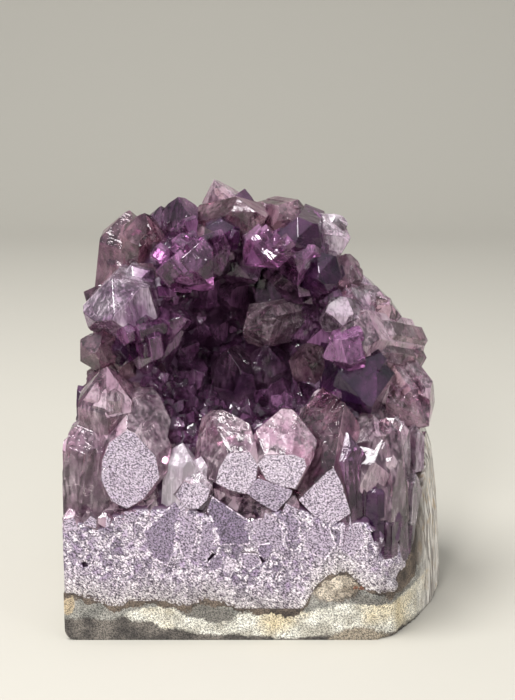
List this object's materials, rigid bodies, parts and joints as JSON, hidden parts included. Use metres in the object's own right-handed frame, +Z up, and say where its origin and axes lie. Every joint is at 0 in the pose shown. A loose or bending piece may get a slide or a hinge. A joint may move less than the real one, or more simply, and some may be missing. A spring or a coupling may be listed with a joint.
{
  "type": "amethyst crystal cluster",
  "caption": "Block sawn from a geode wall: violet quartz points grown together round a dark hollow, on a banded rock rind with a flat sawn underside.",
  "frame": {"origin": "on the flat sawn underside, under the middle of the block", "axes": "+Z up, +X to the right of the viewer who faces the sawn front, +Y from the sawn front to the rough back"},
  "size_m": [0.0874, 0.0629, 0.0964],
  "materials": {
    "rind": "sawn and ground rock in front and on the right, rough behind",
    "amethyst": "natural quartz faces, clear to smoky violet, sawn and granular along the foot of the front"
  },
  "bodies": {
    "root": {"rock_rind": "rind", "amethyst_crystals": "amethyst"}
  },
  "joints": []
}
